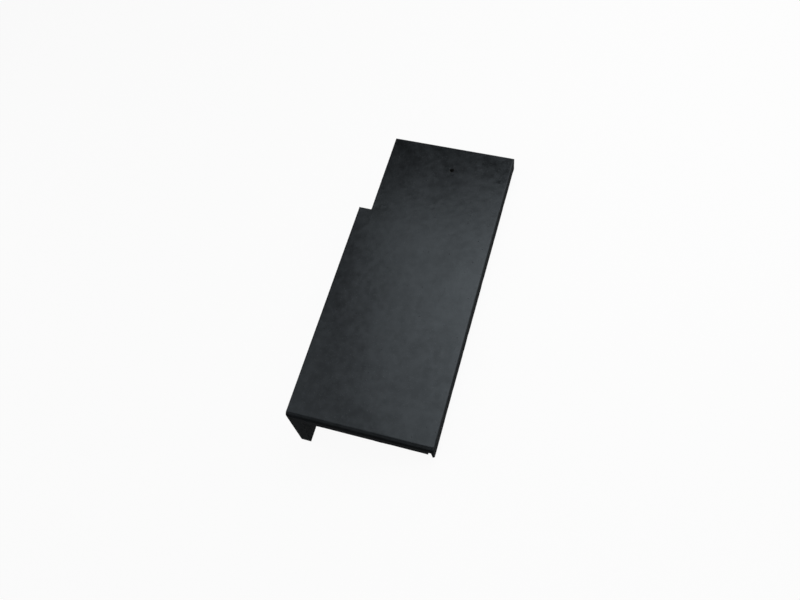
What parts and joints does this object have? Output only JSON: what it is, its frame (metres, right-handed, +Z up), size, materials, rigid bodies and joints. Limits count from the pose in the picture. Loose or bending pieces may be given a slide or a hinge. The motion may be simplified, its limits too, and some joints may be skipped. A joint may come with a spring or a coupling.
{
  "type": "verge tile",
  "caption": "Flat interlocking concrete roof tile for a left-hand verge: narrow dark plate with a flap that hangs over the roof edge, notched at the head, with hanging nibs below.",
  "frame": {"origin": "middle of the footprint, on the floor that the tile rests on", "axes": "+Y up the slope from the tail to the head, +Z up, +X away from the flap towards the side lock; the tile is rolled about Y as it rests, on the foot of its flap and the lip of its side lock"},
  "size_m": [0.2072, 0.42, 0.095],
  "materials": {
    "concrete": "matt to satin colour coat on fine concrete"
  },
  "bodies": {
    "root": {"verge_tile": "concrete"}
  },
  "joints": []
}
